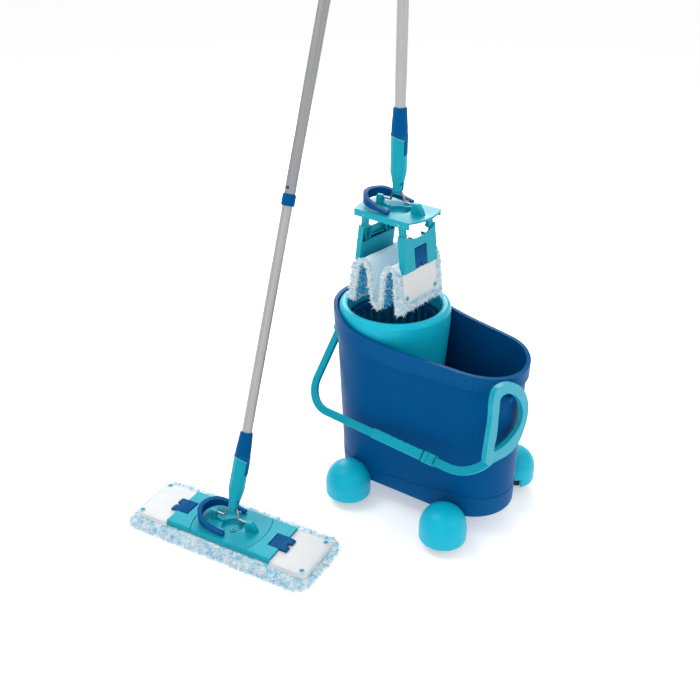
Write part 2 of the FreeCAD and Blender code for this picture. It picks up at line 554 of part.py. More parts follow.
def handle_socket():
    n = 10
    def ring(s, r):
        w = [V(r * math.cos(2 * math.pi * (k + 0.5) / n), r * math.sin(2 * math.pi * (k + 0.5) / n), ZY + s) for k in range(n)]
        return Part.makePolygon(w + [w[0]])
    cone = turned([(0, 20.5), (9.5, 20.5), (11.2, 23), (11.4, 34), (16.2, 58), (0, 58)])
    body_ = turned([(0, 57), (16.2, 57), (16.9, 62), (16.9, 130), (16.6, 136), (0, 136)])
    p = cone.fuse(body_)
    p = p.cut(box(-20, 20, -6.35, 6.35, ZY + 10, ZY + 40))
    p = p.cut(cyl(2.5, (0, -20, ZY + PIN_S), (0, 1, 0), 40))
    p = p.cut(turned([(0, 72), (TUBE_R + 0.05, 72), (TUBE_R + 0.05, 140), (0, 140)]))
    # seat of the release button
    p = p.cut(box(10.0, 20, -5.2, 5.2, ZY + 96, ZY + 128))
    # shallow facets on the body
    for a in (60, 120, 180, 240, 300):
        f = box(16.2, 20, -9, 9, ZY + 66, ZY + 140)
        f.rotate(V(0, 0, 0), V(0, 0, 1), a)
        p = p.cut(f)
    # the tilt pin is moulded in
    p = p.fuse(cyl(2.5, (0, -11.0, ZY + PIN_S), (0, 1, 0), 22))
    return p.removeSplitter()


def joint_collar():
    p = turned([(TUBE_R + 0.03, 136.2), (16.6, 136.2), (16.2, 150), (13.6, 186), (12.2, 188), (TUBE_R + 0.03, 188)])
    return p


def release_button():
    b = box(13.3, 18.3, -4.8, 4.8, ZY + 96.4, ZY + 127.6)
    b = fil(b, 4.5, lambda e: e.BoundBox.XLength > 4.9)
    b = fil(b, 1.0, lambda e: e.BoundBox.XMin > 18.2)
    return b


def lower_tube():
    return turned([(TUBE_R - 0.8, 74), (TUBE_R, 74), (TUBE_R, RING_S + 260), (TUBE_R - 0.8, RING_S + 260)])


def upper_tube():
    return turned([(TUBE_R + 0.1, RING_S + 2), (UP_R, RING_S + 2), (UP_R, TOP_S - 30), (TUBE_R + 0.1, TOP_S - 30)])


def tube_ring():
    p = turned([(TUBE_R + 0.08, RING_S - 12), (13.2, RING_S - 12), (14.0, RING_S - 9), (14.0, RING_S + 9), (13.0, RING_S + 12), (UP_R + 0.02, RING_S + 12), (UP_R + 0.02, RING_S + 1.8), (TUBE_R + 0.08, RING_S + 1.8)])
    bumps = []
    for a in (-90, 90):
        c = cyl(3.2, (UP_R - 1.0, 0, ZY + RING_S + 24), (1, 0, 0), 2.6)
        c.rotate(V(0, 0, 0), V(0, 0, 1), a)
        c = c.cut(turned([(0, 600), (UP_R + 0.02, 600), (UP_R + 0.02, 800), (0, 800)]))
        bumps.append(c)
    return Part.makeCompound([p] + bumps)


def handle_grip():
    p = turned([(UP_R + 0.02, TOP_S - 150), (14.0, TOP_S - 148), (15.4, TOP_S - 132), (14.6, TOP_S - 90), (15.4, TOP_S - 45), (15.0, TOP_S - 18), (12.5, TOP_S - 4), (9.5, TOP_S), (0, TOP_S), (0, TOP_S - 28), (UP_R + 0.02, TOP_S - 28)])
    tab = box(-11, 11, -4, 4, ZY + TOP_S - 6, ZY + TOP_S + 26)
    tab = fil(tab, 9.0, lambda e: e.BoundBox.YLength > 7 and e.BoundBox.ZMin > ZY + TOP_S + 20)
    p = p.fuse(tab).cut(cyl(5.0, (0, -10, ZY + TOP_S + 14), (0, 1, 0), 20))
    return p.removeSplitter()


def pins():
    out = []
    for s in (-1, 1):
        out.append(cyl(2.0, (s * HINGE_X, -PLATE_Y + 0.3, HINGE_Z), (0, 1, 0), 2 * PLATE_Y - 0.6))
    return Part.makeCompound(out)


def m_cover():
    """Folded middle of the cover: two arches and the dip between them, hung below the plate."""
    half = [(40, -72.8, 14.2), (39.5, -62, 14), (35.5, -51, 13.5), (29, -46, 13), (22.5, -51, 12.5), (18.5, -63, 12.5), (16, -90, 12.5), (13, -125, 12.5), (9.5, -150, 12.5), (0, -160, 12.5)]
    line = [(-x, z, t) for x, z, t in half[:-1]] + list(reversed(half))
    a, b = [], []
    for k, (x, z, t) in enumerate(line):
        x0, z0, _ = line[max(k - 1, 0)]
        x1, z1, _ = line[min(k + 1, len(line) - 1)]
        if k == 0 or k == len(line) - 1:
            n = (-1.0, 0.0) if k == 0 else (1.0, 0.0)
        else:
            d = math.hypot(x1 - x0, z1 - z0)
            n = (-(z1 - z0) / d, (x1 - x0) / d)
        a.append(V(x + n[0] * t / 2, -PAD_Y + 2, z + n[1] * t / 2))
        b.append(V(x - n[0] * t / 2, -PAD_Y + 2, z - n[1] * t / 2))
    pts = a + list(reversed(b))
    f = Part.Face(Part.makePolygon(pts + [pts[0]]))
    return f.extrude(V(0, 2 * PAD_Y - 4, 0))


def mid_pad():
    return box(-HINGE_X + 3.8, HINGE_X - 3.8, -PAD_Y, PAD_Y, 0.0, 17.6)


def turn(shape, p, axis, deg):
    s = shape.copy()
    s.rotate(V(*p), V(*axis), deg)
    return s


def build_mop(name, pos, yaw, lean, folded):
    out = {}
    out["centre_plate"] = centre_plate()
    out["wing_pins"] = pins()
    for side, s in (("left", -1), ("right", 1)):
        ps = {
            "wing": wing(s, 104 if folded else 86),
            "latch": latch(s),
            "cover": cover_wing(s, 104 if folded else 86, 184 if folded else 172.5, 98 if folded else 31.5),
        }
        for k, sh in ps.items():
            if folded:
                sh = turn(sh, (s * HINGE_X, 0, HINGE_Z), (0, 1, 0), s * FOLD)
            out[k + "_" + side] = sh
    out["cover_middle"] = m_cover() if folded else mid_pad()
    out["pedal"] = pedal()
    up = {
        "wire_yoke": wire_yoke(), "joint_block": joint_block(), "handle_socket": handle_socket(), "joint_collar": joint_collar(),
        "release_button": release_button(), "lower_tube": lower_tube(), "tube_ring": tube_ring(), "upper_tube": upper_tube(), "handle_grip": handle_grip(),
    }
    for k, sh in up.items():
        out[k] = turn(sh, (0, 0, ZY), (1, 0, 0), lean)
    for k, sh in out.items():
        sh = turn(sh, (0, 0, 0), (0, 0, 1), yaw)
        sh.translate(V(*pos))
        parts[name + "_" + k] = sh


build_mop("wring_mop", A_POS, 0.0, 0.0, True)
build_mop("floor_mop", B_POS, B_YAW, B_LEAN, False)

# ================================================================ write
bb = FreeCAD.BoundBox()
for name, sh in parts.items():
    sh.translate(V(OX, OY, 0))
    bb.add(sh.BoundBox)
    n = len(sh.Solids)
    ok = sh.isValid() and n > 0 and all(s.isClosed() for s in sh.Solids)
    if not ok or (n != 1 and not any(k in name for k in ("wheels", "pins", "ring"))):
        print("CHECK", name, sh.ShapeType, "solids", n, "valid", sh.isValid())
    if n == 1:
        sh = sh.Solids[0]
    sh.exportStep(os.path.join("parts", name + ".step"))
print("nodes", len(parts))
print("box", [round(v, 2) for v in (bb.XMin, bb.XMax, bb.YMin, bb.YMax, bb.ZMin, bb.ZMax)], "centre", round((bb.XMin + bb.XMax) / 2, 2), round((bb.YMin + bb.YMax) / 2, 2))
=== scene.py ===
import bpy, math
import numpy as np
from mathutils import Vector, Matrix


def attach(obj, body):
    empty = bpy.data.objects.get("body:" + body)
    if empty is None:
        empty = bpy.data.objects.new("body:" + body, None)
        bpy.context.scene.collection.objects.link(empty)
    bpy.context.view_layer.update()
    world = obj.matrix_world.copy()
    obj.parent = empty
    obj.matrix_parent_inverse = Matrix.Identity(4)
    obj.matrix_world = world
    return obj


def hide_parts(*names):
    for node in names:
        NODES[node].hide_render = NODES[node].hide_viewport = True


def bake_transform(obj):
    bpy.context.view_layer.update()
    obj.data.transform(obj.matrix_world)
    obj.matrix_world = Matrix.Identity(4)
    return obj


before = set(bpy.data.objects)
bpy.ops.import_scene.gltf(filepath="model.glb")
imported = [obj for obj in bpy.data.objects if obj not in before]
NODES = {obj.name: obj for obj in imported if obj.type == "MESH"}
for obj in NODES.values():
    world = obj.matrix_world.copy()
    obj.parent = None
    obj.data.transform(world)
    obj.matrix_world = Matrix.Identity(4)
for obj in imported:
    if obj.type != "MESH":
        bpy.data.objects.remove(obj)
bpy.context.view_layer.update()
OX, OY = 0.11073, 0.16216
RAD = math.radians
scene = bpy.context.scene


def S(x, y, z):
    """Bucket coordinates in millimetres to the row frame."""
    return Vector((x / 1000 + OX, y / 1000 + OY, z / 1000))


# ------------------------------------------------------------------ materials
def node(nt, kind, **kw):
    n = nt.nodes.new(kind)
    for k, v in kw.items():
        setattr(n, k, v)
    return n


def noise(nt, coord, scale, detail=3.0, rough=0.5, stretch=None):
    n = node(nt, "ShaderNodeTexNoise")
    n.inputs["Scale"].default_value = scale
    n.inputs["Detail"].default_value = detail
    n.inputs["Roughness"].default_value = rough
    if stretch:
        m = node(nt, "ShaderNodeMapping")
        m.inputs["Scale"].default_value = stretch
        nt.links.new(coord, m.inputs["Vector"])
        nt.links.new(m.outputs["Vector"], n.inputs["Vector"])
    else:
        nt.links.new(coord, n.inputs["Vector"])
    return n


def ramp(nt, src, stops):
    r = node(nt, "ShaderNodeValToRGB")
    el = r.color_ramp.elements
    while len(el) > 2:
        el.remove(el[-1])
    for k, (p, c) in enumerate(stops):
        e = el[k] if k < 2 else el.new(p)
        e.position = p
        e.color = (c[0], c[1], c[2], 1) if hasattr(c, "__len__") else (c, c, c, 1)
    nt.links.new(src, r.inputs["Fac"])
    return r


def lin(rgb):
    return tuple((c / 255 / 12.92) if c / 255 <= 0.04045 else ((c / 255 + 0.055) / 1.055) ** 2.4 for c in rgb)


def tone(c, f, lift=0.0):
    return tuple(min(1.0, k * f + lift) for k in c)


def plastic(name, rgb, rough=0.36, grain=1400, grain_h=0.00006, vary=0.07, edge=0.10, scuff=0.5, coat=0.0, spec=0.5, swirl=None, ior=1.45, tinted=0.75):
    """Moulded plastic: slight tone drift, fine grain, faint scuffs, and convex edges lightened partly as rubbed wear
    and partly as a painted highlight.
    """
    m = bpy.data.materials.new(name)
    m.use_nodes = True
    nt = m.node_tree
    p = nt.nodes["Principled BSDF"]
    co = node(nt, "ShaderNodeTexCoord").outputs["Object"]
    base = lin(rgb)
    a = noise(nt, co, 7.0, 2.0, 0.5, swirl)
    tint = ramp(nt, a.outputs["Fac"], [(0.25, tone(base, 1 - vary)), (0.75, tone(base, 1 + vary))])
    # painted highlight and wear: convex edges (pointiness), broken up by noise, are mixed towards a lighter colour
    geo = node(nt, "ShaderNodeNewGeometry")
    edge_wear_and_highlight = ramp(nt, geo.outputs["Pointiness"], [(0.515, 0.0), (0.60, 1.0)])
    wear_and_highlight_noise = noise(nt, co, 160.0, 3.0, 0.6)
    wr = ramp(nt, wear_and_highlight_noise.outputs["Fac"], [(0.35, 0.25), (0.7, 1.0)])
    mul = node(nt, "ShaderNodeMath", operation="MULTIPLY")
    nt.links.new(edge_wear_and_highlight.outputs["Color"], mul.inputs[0])
    nt.links.new(wr.outputs["Color"], mul.inputs[1])
    mul2 = node(nt, "ShaderNodeMath", operation="MULTIPLY")
    nt.links.new(mul.outputs[0], mul2.inputs[0])
    mul2.inputs[1].default_value = edge * 2.2
    # lighter edge colour: partly rubbed wear, partly a painted highlight on the edges
    mix = node(nt, "ShaderNodeMix", data_type="RGBA")
    nt.links.new(mul2.outputs[0], mix.inputs["Factor"])
    nt.links.new(tint.outputs["Color"], mix.inputs["A"])
    mix.inputs["B"].default_value = (min(1, base[0] * 1.3 + 0.02), min(1, base[1] * 1.45 + 0.07), min(1, base[2] * 1.25 + 0.09), 1)
    nt.links.new(mix.outputs["Result"], p.inputs["Base Color"])
    # roughness: scuffed in patches
    b = noise(nt, co, 30.0, 4.0, 0.65)
    rr = ramp(nt, b.outputs["Fac"], [(0.3, max(0.05, rough - 0.05)), (0.72, rough + 0.09 * scuff)])
    nt.links.new(rr.outputs["Color"], p.inputs["Roughness"])
    # grain and faint flow marks
    g = noise(nt, co, grain, 2.0, 0.5)
    bump = node(nt, "ShaderNodeBump")
    bump.inputs["Strength"].default_value = 0.55
    bump.inputs["Distance"].default_value = grain_h
    nt.links.new(g.outputs["Fac"], bump.inputs["Height"])
    w = noise(nt, co, 18.0, 2.0, 0.4)
    bump2 = node(nt, "ShaderNodeBump")
    bump2.inputs["Strength"].default_value = 0.25
    bump2.inputs["Distance"].default_value = 0.0006
    nt.links.new(w.outputs["Fac"], bump2.inputs["Height"])
    nt.links.new(bump.outputs["Normal"], bump2.inputs["Normal"])
    nt.links.new(bump2.outputs["Normal"], p.inputs["Normal"])
    p.inputs["Specular IOR Level"].default_value = spec
    p.inputs["IOR"].default_value = ior
    top = max(base) or 1.0
    p.inputs["Specular Tint"].default_value = (*[1 - tinted + tinted * c / top for c in base], 1)
    p.inputs["Coat Weight"].default_value = coat
    p.inputs["Coat Roughness"].default_value = 0.18
    return m


def metal(name, rgb, rough, stretch, grain, h, edge_rgb=None, metallic=1.0, vary=0.12):
    m = bpy.data.materials.new(name)
    m.use_nodes = True
    nt = m.node_tree
    p = nt.nodes["Principled BSDF"]
    co = node(nt, "ShaderNodeTexCoord").outputs["Object"]
    base = lin(rgb)
    a = noise(nt, co, grain, 3.0, 0.6, stretch)
    tint = ramp(nt, a.outputs["Fac"], [(0.3, tone(base, 1 - vary)), (0.7, tone(base, 1 + vary))])
    nt.links.new(tint.outputs["Color"], p.inputs["Base Color"])
    r = ramp(nt, a.outputs["Fac"], [(0.3, rough - 0.06), (0.7, rough + 0.08)])
    nt.links.new(r.outputs["Color"], p.inputs["Roughness"])
    bump = node(nt, "ShaderNodeBump")
    bump.inputs["Strength"].default_value = 0.5
    bump.inputs["Distance"].default_value = h
    nt.links.new(a.outputs["Fac"], bump.inputs["Height"])
    nt.links.new(bump.outputs["Normal"], p.inputs["Normal"])
    p.inputs["Metallic"].default_value = metallic
    return m


def wire_metal(name):
    """Bent rod: metal with tone and roughness varied by noise."""
    m = bpy.data.materials.new(name)
    m.use_nodes = True
    nt = m.node_tree
    p = nt.nodes["Principled BSDF"]
    co = node(nt, "ShaderNodeTexCoord").outputs["Object"]
    a = noise(nt, co, 700.0, 2.0, 0.6)
    tint = ramp(nt, a.outputs["Fac"], [(0.3, lin((96, 95, 96))), (0.7, lin((192, 191, 190)))])
    nt.links.new(tint.outputs["Color"], p.inputs["Base Color"])
    p.inputs["Metallic"].default_value = 1.0
    r = ramp(nt, a.outputs["Fac"], [(0.3, 0.28), (0.7, 0.44)])
    nt.links.new(r.outputs["Color"], p.inputs["Roughness"])
    return m


def fabric(name, stops, scale, fine=900.0, rough=0.95, h=0.0004, sheen=0.35, glow=0.0):
    """Microfibre: patches of colour by noise, fine fibre bump and sheen, and a painted glow (emission) that lightens
    the pile's shade.
    """
    m = bpy.data.materials.new(name)
    m.use_nodes = True
    nt = m.node_tree
    p = nt.nodes["Principled BSDF"]
    co = node(nt, "ShaderNodeTexCoord").outputs["Object"]
    a = noise(nt, co, scale, 3.0, 0.62)
    tint = ramp(nt, a.outputs["Fac"], [(q, lin(c)) for q, c in stops])
    f = noise(nt, co, fine, 3.0, 0.6)
    fr = ramp(nt, f.outputs["Fac"], [(0.3, 0.88), (0.7, 1.0)])
    mix = node(nt, "ShaderNodeMix", data_type="RGBA", blend_type="MULTIPLY")
    mix.inputs["Factor"].default_value = 1.0
    nt.links.new(tint.outputs["Color"], mix.inputs["A"])
    nt.links.new(fr.outputs["Color"], mix.inputs["B"])
    nt.links.new(mix.outputs["Result"], p.inputs["Base Color"])
    bump = node(nt, "ShaderNodeBump")
    bump.inputs["Strength"].default_value = 0.6
    bump.inputs["Distance"].default_value = h
    nt.links.new(f.outputs["Fac"], bump.inputs["Height"])
    nt.links.new(bump.outputs["Normal"], p.inputs["Normal"])
    rr = ramp(nt, f.outputs["Fac"], [(0.3, rough - 0.08), (0.7, rough)])
    nt.links.new(rr.outputs["Color"], p.inputs["Roughness"])
    # painted glow: emission in the pile colour lifts the pile's shaded parts, standing in for light scattered inside
    # the pile
    nt.links.new(tint.outputs["Color"], p.inputs["Emission Color"])
    p.inputs["Emission Strength"].default_value = glow
    p.inputs["Sheen Weight"].default_value = sheen
    p.inputs["Sheen Roughness"].default_value = 0.5
    p.inputs["Specular IOR Level"].default_value = 0.2
    return m


def woven(name, light, dark, pitch, axis=1, h=0.0005, contrast=1.0, weave=900.0):
    """Knitted backing with fine ribs along one direction."""
    m = bpy.data.materials.new(name)
    m.use_nodes = True
    nt = m.node_tree
    p = nt.nodes["Principled BSDF"]
    co = node(nt, "ShaderNodeTexCoord").outputs["Object"]
    sep = node(nt, "ShaderNodeSeparateXYZ")
    nt.links.new(co, sep.inputs[0])
    k = node(nt, "ShaderNodeMath", operation="MULTIPLY")
    nt.links.new(sep.outputs[axis], k.inputs[0])
    k.inputs[1].default_value = 2 * math.pi / pitch
    wob = noise(nt, co, 60.0, 2.0, 0.5)
    add = node(nt, "ShaderNodeMath", operation="ADD")
    nt.links.new(k.outputs[0], add.inputs[0])
    wm = node(nt, "ShaderNodeMath", operation="MULTIPLY")
    nt.links.new(wob.outputs["Fac"], wm.inputs[0])
    wm.inputs[1].default_value = 1.1
    nt.links.new(wm.outputs[0], add.inputs[1])
    s = node(nt, "ShaderNodeMath", operation="SINE")
    nt.links.new(add.outputs[0], s.inputs[0])
    h1 = node(nt, "ShaderNodeMath", operation="MULTIPLY_ADD")
    nt.links.new(s.outputs[0], h1.inputs[0])
    h1.inputs[1].default_value = 0.5
    h1.inputs[2].default_value = 0.5
    tint = ramp(nt, h1.outputs[0], [(0.30, lin(dark)), (0.62, lin(light))])
    f = noise(nt, co, weave, 3.0, 0.6)
    fr = ramp(nt, f.outputs["Fac"], [(0.3, 0.88), (0.7, 1.0)])
    mix = node(nt, "ShaderNodeMix", data_type="RGBA", blend_type="MULTIPLY")
    mix.inputs["Factor"].default_value = 1.0
    nt.links.new(tint.outputs["Color"], mix.inputs["A"])
    nt.links.new(fr.outputs["Color"], mix.inputs["B"])
    nt.links.new(mix.outputs["Result"], p.inputs["Base Color"])
    b1 = node(nt, "ShaderNodeBump")
    b1.inputs["Strength"].default_value = 0.7
    b1.inputs["Distance"].default_value = h
    nt.links.new(h1.outputs[0], b1.inputs["Height"])
    b2 = node(nt, "ShaderNodeBump")
    b2.inputs["Strength"].default_value = 0.5
    b2.inputs["Distance"].default_value = 0.0002
    nt.links.new(f.outputs["Fac"], b2.inputs["Height"])
    nt.links.new(b1.outputs["Normal"], b2.inputs["Normal"])
    nt.links.new(b2.outputs["Normal"], p.inputs["Normal"])
    rr = ramp(nt, f.outputs["Fac"], [(0.3, 0.84), (0.7, 0.93)])
    nt.links.new(rr.outputs["Color"], p.inputs["Roughness"])
    p.inputs["Sheen Weight"].default_value = 0.25
    p.inputs["Specular IOR Level"].default_value = 0.25
    return m


AQUA = plastic("aqua_moulded", (10, 176, 202), 0.38, vary=0.05, edge=0.12, spec=0.42, ior=1.42, tinted=0.5)
AQUA_BAIL = plastic("aqua_bail", (6, 150, 172), 0.40, vary=0.05, edge=0.12, spec=0.36, ior=1.40, tinted=0.6)
AQUA_HEAD = plastic("aqua_head", (8, 150, 170), 0.42, grain=1800, vary=0.05, edge=0.14, spec=0.36, ior=1.40, tinted=0.6)
BLUE = plastic("blue_moulded", (0, 76, 130), 0.40, vary=0.06, edge=0.10, spec=0.22, ior=1.22)
NAVY = plastic("navy_moulded", (0, 80, 134), 0.42, vary=0.06, edge=0.12, spec=0.22, ior=1.25)
LATCH = plastic("latch_blue", (0, 74, 128), 0.44, vary=0.05, edge=0.14, spec=0.16, ior=1.22)
DARK = plastic("dark_plastic", (48, 50, 56), 0.5)
WHITE = plastic("white_plastic", (222, 224, 226), 0.42, edge=0.03)
BLACK = plastic("caster_black", (20, 18, 24), 0.45, vary=0.12, edge=0.05)
RUBBER = plastic("wheel_rubber", (24, 21, 28), 0.58, grain=900, grain_h=0.00012, vary=0.15, edge=0.05, scuff=1.2)
STEEL = metal("steel_bright", (168, 166, 164), 0.30, (1, 1, 0.1), 500.0, 0.00003)
WIRE = wire_metal("wire_rolled")
TUBE = metal("tube_grey", (172, 172, 172), 0.42, (1, 1, 0.04), 420.0, 0.00002, metallic=0.45, vary=0.05)
TUBE_UP = metal("tube_grey_outer", (150, 150, 152), 0.45, (1, 1, 0.04), 420.0, 0.00002, metallic=0.45, vary=0.05)
# glow: painted emission on each pile, lifting its shade
PILE = fabric("pile_pale", [(0.36, (124, 204, 236)), (0.47, (186, 229, 244)), (0.60, (242, 249, 251))], 95.0, sheen=0.3, glow=0.10)
PILE_WHITE = fabric("pile_white", [(0.3, (182, 222, 238)), (0.43, (234, 243, 247)), (0.7, (250, 252, 252))], 80.0, sheen=0.3, glow=0.08)
PILE_DEEP = fabric("pile_deep", [(0.35, (0, 128, 176)), (0.5, (30, 160, 202)), (0.68, (120, 206, 232))], 110.0, sheen=0.2, glow=0.20)
BACKING = woven("backing_ribbed", (244, 250, 252), (92, 178, 212), 0.0047)
# painted glow on the backing: pale blue emission lifts the cloth's shade
bp = BACKING.node_tree.nodes["Principled BSDF"]
bp.inputs["Emission Color"].default_value = (0.60, 0.86, 0.96, 1)
bp.inputs["Emission Strength"].default_value = 0.10
POCKET = woven("pocket_cloth", (228, 230, 230), (220, 222, 223), 0.0011, h=0.00012)
HEM = woven("hem_cloth", (222, 230, 234), (196, 212, 218), 0.0016, h=0.0002)
SEAM = plastic("seam_shadow", (0, 92, 110), 0.6, edge=0.0)


# ------------------------------------------------------------------ mesh helpers
def obj_from(name, verts, faces, mats, smooth=True, mat_index=None, body=None):
    me = bpy.data.meshes.new(name)
    me.from_pydata([tuple(v) for v in verts], [], [tuple(f) for f in faces])
    me.update()
    o = bpy.data.objects.new(name, me)
    scene.collection.objects.link(o)
    for m in mats if isinstance(mats, (list, tuple)) else [mats]:
        me.materials.append(m)
    if smooth:
        me.polygons.foreach_set("use_smooth", [True] * len(me.polygons))
    if mat_index is not None:
        me.polygons.foreach_set("material_index", list(mat_index))
    if body:
        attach(o, body)
    return o


def rings_mesh(rings, closed_ends=True, wrap=False):
    """Faces through equal rings of points."""
    n = len(rings[0])
    verts = [p for r in rings for p in r]
    faces = []
    m = len(rings)
    for i in range(m if wrap else m - 1):
        a, b = i * n, ((i + 1) % m) * n
        for j in range(n):
            k = (j + 1) % n
            faces.append((a + j, a + k, b + k, b + j))
    if closed_ends and not wrap:
        faces.append(tuple(reversed(range(n))))
        faces.append(tuple(range((m - 1) * n, m * n)))
    return verts, faces


def fix_normals(o):
    import bmesh
    bm = bmesh.new()
    bm.from_mesh(o.data)
    bmesh.ops.recalc_face_normals(bm, faces=bm.faces)
    bm.to_mesh(o.data)
    bm.free()


def auto_smooth(o, deg=35):
    import bmesh
    bm = bmesh.new()
    bm.from_mesh(o.data)
    lim = RAD(deg)
    for e in bm.edges:
        e.smooth = not (len(e.link_faces) == 2 and e.calc_face_angle(0) > lim)
    for f in bm.faces:
        f.smooth = True
    bm.to_mesh(o.data)
    bm.free()


def apply_mods(o):
    dg = bpy.context.evaluated_depsgraph_get()
    me = bpy.data.meshes.new_from_object(o.evaluated_get(dg))
    o.modifiers.clear()
    old = o.data
    o.data = me
    bpy.data.meshes.remove(old)


def lathe(name, prof, c, mats, seg=96, body=None, axis=None, sharp=35):
    """Profile of (radius, height) turned about a vertical line, or about another frame."""
    rings = []
    for r, z in prof:
        ring = []
        for k in range(seg):
            t = 2 * math.pi * k / seg
            p = Vector((r * math.cos(t), r * math.sin(t), z))
            ring.append(axis @ (p / 1000) if axis is not None else Vector(c) + p / 1000)
        rings.append(ring)
    v, f = rings_mesh(rings, closed_ends=False, wrap=False)
    o = obj_from(name, v, f, mats)
    import bmesh
    bm = bmesh.new()
    bm.from_mesh(o.data)
    bmesh.ops.remove_doubles(bm, verts=bm.verts, dist=1e-7)
    bmesh.ops.recalc_face_normals(bm, faces=bm.faces)
    bm.to_mesh(o.data)
    bm.free()
    auto_smooth(o, sharp)
    if body:
        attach(o, body)
    return o


def join(objs, name):
    bpy.ops.object.select_all(action="DESELECT")
    for o in objs:
        o.select_set(True)
    bpy.context.view_layer.objects.active = objs[0]
    bpy.ops.object.join()
    objs[0].name = name
    return objs[0]


# ------------------------------------------------------------------ camera, floor and light
cam_d = bpy.data.cameras.new("cam")
cam_d.lens = 46.70
cam_d.sensor_width = 36
cam_d.sensor_height = 36
cam_d.clip_end = 60
cam = bpy.data.objects.new("cam", cam_d)
scene.collection.objects.link(cam)
cam.location = (0.94161 + OX, -1.40156 + OY, 1.2854)
fwd = Vector((-0.5629, 0.6713, -0.4821)).normalized()
cam.rotation_euler = fwd.to_track_quat("-Z", "Y").to_euler()
scene.camera = cam

floor_m = bpy.data.materials.new("floor_pale")
floor_m.use_nodes = True
fb = floor_m.node_tree.nodes["Principled BSDF"]
fb.inputs["Base Color"].default_value = (0.93, 0.93, 0.935, 1)
fb.inputs["Roughness"].default_value = 0.85
fb.inputs["Specular IOR Level"].default_value = 0.1
fb.inputs["Emission Color"].default_value = (1, 1, 1, 1)
fb.inputs["Emission Strength"].default_value = 0.34
floor = obj_from("floor", [(-30, -30, 0), (30, -30, 0), (30, 30, 0), (-30, 30, 0)], [(0, 1, 2, 3)], floor_m, smooth=False)

world = bpy.data.worlds.new("studio")
scene.world = world
world.use_nodes = True
wn = world.node_tree
bg = wn.nodes["Background"]
wc = node(wn, "ShaderNodeTexCoord")
ws = node(wn, "ShaderNodeSeparateXYZ")
wn.links.new(wc.outputs["Generated"], ws.inputs[0])
wr_ = node(wn, "ShaderNodeValToRGB")
wr_.color_ramp.elements[0].position = 0.0
wr_.color_ramp.elements[0].color = (0.80, 0.80, 0.82, 1)
wr_.color_ramp.elements[1].position = 0.9
wr_.color_ramp.elements[1].color = (1.0, 1.0, 1.0, 1)
wn.links.new(ws.outputs[2], wr_.inputs["Fac"])
wn.links.new(wr_.outputs["Color"], bg.inputs["Color"])
bg.inputs["Strength"].default_value = 0.72


def area(name, loc, target, size, power, colour=(1, 1, 1)):
    d = bpy.data.lights.new(name, "AREA")
    d.shape = "DISK"
    d.size = size
    d.energy = power
    d.color = colour
    o = bpy.data.objects.new(name, d)
    scene.collection.objects.link(o)
    o.location = loc
    o.rotation_euler = (Vector(target) - Vector(loc)).to_track_quat("-Z", "Y").to_euler()
    return o


area("key", (-1.1, -0.9, 3.0), (0.0, 0.0, 0.3), 1.6, 30)
area("top_back", (-1.9, 2.4, 2.0), (0.0, 0.1, 0.3), 2.6, 95)
area("side", (3.0, 0.6, 1.8), (0.1, 0.1, 0.3), 1.6, 18)
area("fill", (1.4, -2.8, 1.7), (0.05, 0.1, 0.35), 2.4, 16)
scene.view_settings.view_transform = "Standard"
scene.view_settings.look = "None"
scene.view_settings.exposure = 0.0


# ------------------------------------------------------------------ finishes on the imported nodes
def paint(name, *mats):
    me = NODES[name].data
    for k in range(len(me.materials)):
        me.materials[k] = mats[min(k, len(mats) - 1)]
    if not len(me.materials):
        me.materials.append(mats[0])


for n in NODES:
    if n in ("bucket",):
        paint(n, BLUE)
    elif n == "bail_handle":
        paint(n, AQUA_BAIL)
    elif n == "spinner_column" or n.startswith("caster_hood"):
        paint(n, AQUA)
    elif n == "spin_basket":
        paint(n, NAVY)
    elif n in ("drive_spindle", "return_spring"):
        paint(n, STEEL)
    elif n in ("carriage",) or n.startswith("caster_fork"):
        paint(n, BLACK if n.startswith("caster") else DARK)
    elif n == "drive_nut":
        paint(n, WHITE)
    elif n.startswith("caster_wheels"):
        paint(n, RUBBER)
    elif n.endswith(("wing_left", "wing_right", "centre_plate", "joint_block", "handle_socket")):
        paint(n, AQUA_HEAD)
    elif "latch" in n or n.endswith(("pedal",)):
        paint(n, LATCH)
    elif n.endswith(("joint_collar", "tube_ring", "handle_grip", "release_button")):
        paint(n, NAVY)
    elif n.endswith("wing_pins"):
        paint(n, STEEL)
    elif n.endswith("wire_yoke"):
        paint(n, WIRE)
    elif n.endswith("lower_tube"):
        paint(n, TUBE)
    elif n.endswith("upper_tube"):
        paint(n, TUBE_UP)


# ------------------------------------------------------------------ mop heads: frames
HX, HZ = 45.0, 24.5
MOPS = {
    "wring_mop": dict(body="wring", pos=(-108.0, 0.0, 617.0), yaw=0.0, fold=83.0, lean=0.0, edge=104, end=184, start=98),
    "floor_mop": dict(body="floor", pos=(-222.0, -404.0, 0.0), yaw=11.5, fold=0.0, lean=-23.3, edge=86, end=172.5, start=31.5),
}


def mop_pt(mop, x, y, z):
    """Mop frame in millimetres to the row frame."""
    m = MOPS[mop]
    c, s = math.cos(RAD(m["yaw"])), math.sin(RAD(m["yaw"]))
    return S(m["pos"][0] + x * c - y * s, m["pos"][1] + x * s + y * c, m["pos"][2] + z)


def wing_pt(mop, side, a, y, b):
    """Wing frame: a outwards from the hinge, b up from it in the flat state."""
    t = RAD(MOPS[mop]["fold"])
    return mop_pt(mop, side * (HX + a * math.cos(t) + b * math.sin(t)), y, HZ - a * math.sin(t) + b * math.cos(t))


